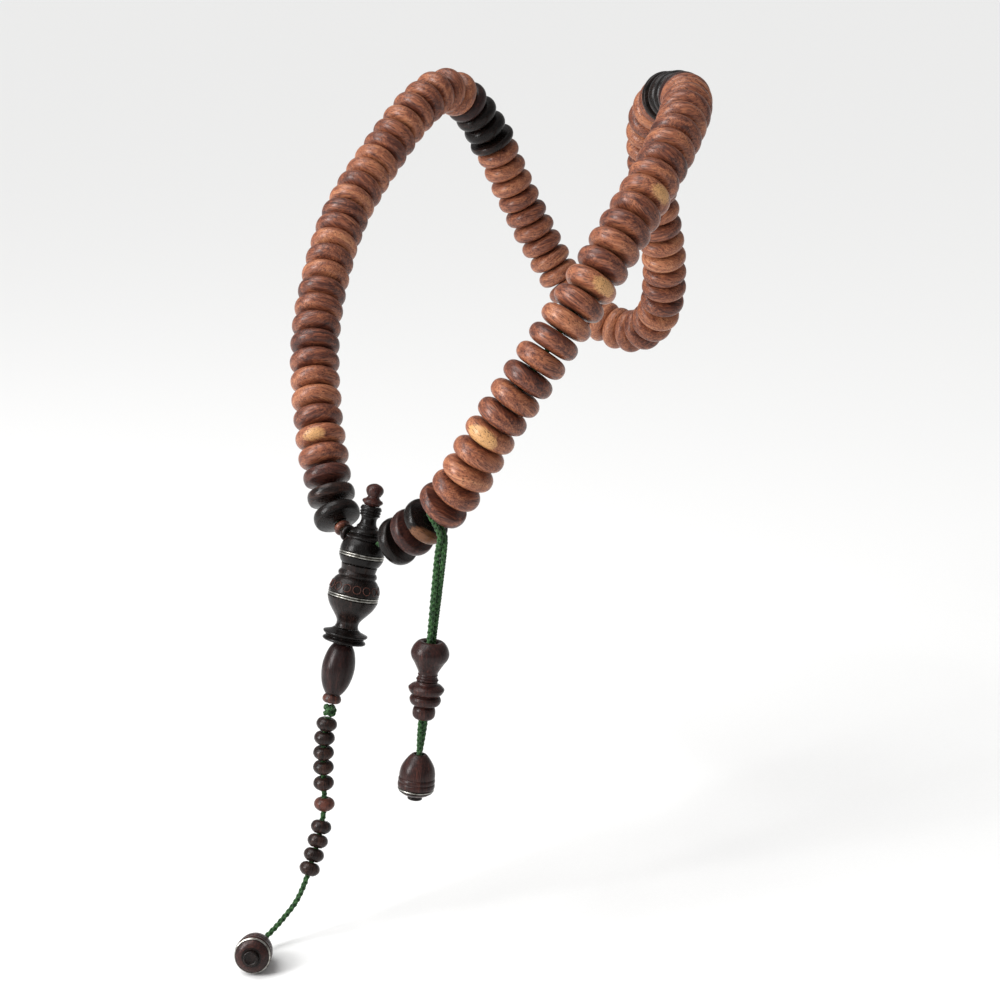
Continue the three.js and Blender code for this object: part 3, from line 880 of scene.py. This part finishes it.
turning("turned_flange", outline(
    (1.6, -40.7), [(4, -40.7)], [(5.4, -40.35), (7.9, -40.0)], [(8.35, -39.6), (8.3, -39.1)],
    [(7.6, -38.6), (7.1, -38.2)], [(7.8, -37.7), (8.6, -37.0)], [(8.6, -36.5)],
    [(7.4, -36.1), (5.8, -35.5), (4.8, -34.7)], [(1.6, -34.7)],
), ON_HEAD, "imam", "imam_flange", BLACKWOOD, "black_timber", 0.4)

turning("turned_olive", outline(
    (1.6, -60.6), [(3.1, -60.6)], [(4.6, -58.2), (5.75, -54.8), (6.3, -50.7), (5.95, -46.8),
    (4.9, -43.2), (3.6, -41)], [(1.6, -41)],
), ON_HEAD, "imam_olive", "imam_olive", PLUMWOOD, "plum_timber", 0.3)

turning("turned_foot_collar", outline(
    (1.6, -64.1), [(2.8, -64.1)], [(3.45, -63.5), (3.65, -62.6), (3.4, -61.7), (2.8, -60.9)],
    [(1.6, -60.9)],
), ON_HEAD, "imam", "imam_foot_collar", ROSEWOOD, "red_timber", 0.16)


BAND_HALF = 0.95
BAND_SEAT = 0.65
GROOVE_DEPTH = 0.45
WIRE_RISE = 0.1
WIRE_SHOULDER = 0.12


def wire_band(name, body_radius, middle, body, node, place, wires=(0.47, -0.47)):
    """Silver wires side by side in one dark groove, on a common seat."""
    seat = body_radius - BAND_SEAT
    floor = body_radius - GROOVE_DEPTH
    crown = body_radius + WIRE_RISE
    shoulder = crown - WIRE_SHOULDER
    points = [(seat, middle - BAND_HALF), (floor, middle - BAND_HALF)]
    for wire in sorted(wires):
        centre = middle + wire
        points += [(floor, centre - 0.3), (shoulder, centre - 0.24), (crown, centre - 0.08),
                   (crown, centre + 0.08), (shoulder, centre + 0.24), (floor, centre + 0.3)]
    points += [(floor, middle + BAND_HALF), (seat, middle + BAND_HALF)]
    shape = spun(points, 72, True)
    soften(shape, 0)
    from_plank(shape, (0, 0, 1), 0.3)
    for face in shape.faces:
        reach = face.calc_center_median().xy.length / MM
        face.material_index = 0 if reach > floor + 0.02 else 1
    piece = make_piece(name, shape, place, [SILVER, BLACKWOOD])
    return settle(piece, body, "silver_inlay", node)


wire_band("head_wires", 8.6, -5.7, "imam", "imam_head_band", ON_HEAD)
wire_band("vase_wires", 9.7, -21.9, "imam", "imam_vase_band", ON_HEAD)

DARK_COLLAR_DISTANCE = 9.9 * MM
RED_COLLAR_DISTANCE = 13.9 * MM
COLLAR = outline(
    (1.55, -1.25), [(2.6, -1.25)], [(3.15, -0.8), (3.35, 0), (3.15, 0.8), (2.6, 1.25)],
    [(1.55, 1.25)],
)
turning("turned_side_collar_dark", COLLAR, LOOP.stand(LOOP.length - DARK_COLLAR_DISTANCE),
        "loop", "side_collar_dark", BLACKWOOD, "black_timber", 0.5, segments=40)
turning("turned_side_collar_red", COLLAR, LOOP.stand(LOOP.length - RED_COLLAR_DISTANCE),
        "loop", "side_collar_red", ROSEWOOD, "red_timber", 0.28, segments=40)

COUNTER = outline(
    (1.25, -2.5), [(2.2, -2.5)], [(3.2, -1.95), (3.85, -1.0), (4.05, 0.0), (3.9, 0.7),
    (3.3, 1.65), (2.2, 2.5)], [(1.25, 2.5)],
)
RED_COUNTER = 6
for number, distance in enumerate(COUNTERS, 1):
    red = number == RED_COUNTER
    node = f"tail_counter_{number:02d}"
    turning(f"turned_counter_{number:02d}", COUNTER, TAIL.stand(distance * MM), node, node,
            PLUMWOOD if red else BLACKWOOD, "plum_timber" if red else "black_timber",
            0.95 if red else chance.uniform(0.7, 0.85), segments=40)


DROP_FOOT = -15.9


def drop_outline(hole):
    """A drop from the button under its foot up to the blind hole that the cord ends in."""
    return outline(
        (0, -17.4), [(1.9, -17.4)], [(2.3, -17.7), (2.75, -17.5), (2.8, -16.9)],
        [(2.3, DROP_FOOT)], [(3.4, -16.0), (4.9, -15.5), (6.5, -14.2)], [(5.8, -14.2)],
        [(5.8, -12.9)], [(6.8, -12.9)], [(7.02, -12.1), (6.95, -11.2)], [(6.6, -10.9)],
        [(6.9, -10.6)], [(6.95, -9.9), (6.8, -9.3)], [(6.45, -9.05)], [(6.75, -8.7)],
        [(6.7, -7.4), (6.15, -4.9), (4.45, -2.0), (hole + 1.2, -0.4), (hole + 0.7, 0)],
        [(hole, 0)], [(hole, -4)], [(0, -4)],
    )


for name, body, place, hole in (("tail", "tail_drop", TAIL_DROP, 1.5),
                                ("marker", "marker_drop", MARKER_DROP, 1.9)):
    turning(f"turned_{name}_drop", drop_outline(hole), place, body, f"{name}_drop", PLUMWOOD,
            "plum_timber", 0.55, bored=False, foot=DROP_FOOT)
    wire_band(f"{name}_drop_wire", 6.75, -13.55, body, f"{name}_drop_ring", place, wires=(0,))

turning("turned_tulip", outline(
    (2.6, -15.6), [(4.0, -15.6)], [(4.2, -15.3), (4.0, -14.9)], [(3.55, -14.7)],
    [(3.75, -14.4), (3.55, -14.1)], [(3.5, -13.8)], [(3.8, -13.4), (3.55, -13)],
    [(3.8, -12.2), (4.3, -11.2), (5.6, -8.9), (6.8, -7), (7.2, -5.4), (6.9, -3.8),
    (6.1, -2.2), (5, -1), (4.3, -0.6)], [(2.9, -0.9)], [(2.6, -1.6)],
), SLIDER, "marker_slider", "marker_tulip", PLUMWOOD, "plum_timber", 0.5)
turning("turned_double_disc", outline(
    (2.6, -25.2), [(4.3, -25.2)], [(5.1, -24.8), (5.75, -23.8), (5.95, -22.8)],
    [(5.5, -21.9), (4.7, -21.5)], [(5.1, -21.1), (6.0, -20.4), (6.6, -19.4), (6.8, -18.6)],
    [(5.6, -17.5), (4.3, -16.9)], [(4.0, -16.5), (3.9, -15.9)], [(2.6, -15.9)],
), SLIDER, "marker_slider", "marker_double_disc", PLUMWOOD, "plum_timber", 0.55)
turning("turned_marker_rondelle", outline(
    (2.6, -30.4), [(3.3, -30.4)], [(4.05, -29.5), (4.3, -28), (4.05, -26.4), (3.3, -25.5)],
    [(2.6, -25.5)],
), SLIDER, "marker_slider", "marker_rondelle", PLUMWOOD, "plum_timber", 0.6, segments=48)


# Cord points, worked out and left unused ---------------------------------------------------------


TAIL.point(TAIL_START)
path_of(TAIL, TAIL_START, TAIL.length, 120)
MARKER_ROUTE.point(0)
path_of(MARKER_ROUTE, 0, MARKER_ROUTE.length, 200)


# Floor and light ----------------------------------------------------------------------------------

def floor():
    """A wide sheet of white paper at the height of the lowest point."""
    paper = Finish("white_paper")
    place = paper.field("ShaderNodeTexCoord", output="Object")
    grain = paper.noise(place, 900, detail=3)
    look = paper.finish(
        Base_Color=paper.mix(grain, (0.86, 0.86, 0.855), (0.90, 0.90, 0.895)),
        Roughness=grain * 0.1 + 0.75, Specular_IOR_Level=0.2,
        Normal=paper.bump(grain, 0.0001, 0.2),
    )
    shape = bmesh.new()
    bmesh.ops.create_grid(shape, x_segments=1, y_segments=1, size=40)
    place = Matrix.Translation((0, 0, TABLE_HEIGHT))
    make_piece("floor", shape, place, [look])


def aim(name, data, location, target):
    lamp = bpy.data.objects.new(name, data)
    lamp.location = location
    lamp.rotation_euler = (Vector(target) - Vector(location)).to_track_quat("-Z", "Y").to_euler()
    bpy.context.collection.objects.link(lamp)


def sun(name, strength, spread, location, target):
    data = bpy.data.lights.new(name, "SUN")
    data.energy = strength
    data.angle = math.radians(spread)
    aim(name, data, location, target)


def softbox(name, width, height, power, location, target):
    data = bpy.data.lights.new(name, "AREA")
    data.shape = "RECTANGLE"
    data.size = width
    data.size_y = height
    data.energy = power
    aim(name, data, location, target)


def studio():
    middle = (0.0, -0.05, -0.13)
    sun("day", 2.15, 45, (-0.35, -0.55, 1.2), middle)
    softbox("window", 0.35, 0.6, 11, (-0.25, -1.0, 0.25), middle)
    world = bpy.data.worlds.new("studio")
    world.use_nodes = True
    background = world.node_tree.nodes["Background"]
    background.inputs["Color"].default_value = (1, 1, 1, 1)
    background.inputs["Strength"].default_value = 0.36
    bpy.context.scene.world = world
    bpy.context.scene.view_settings.view_transform = "Standard"


floor()
studio()
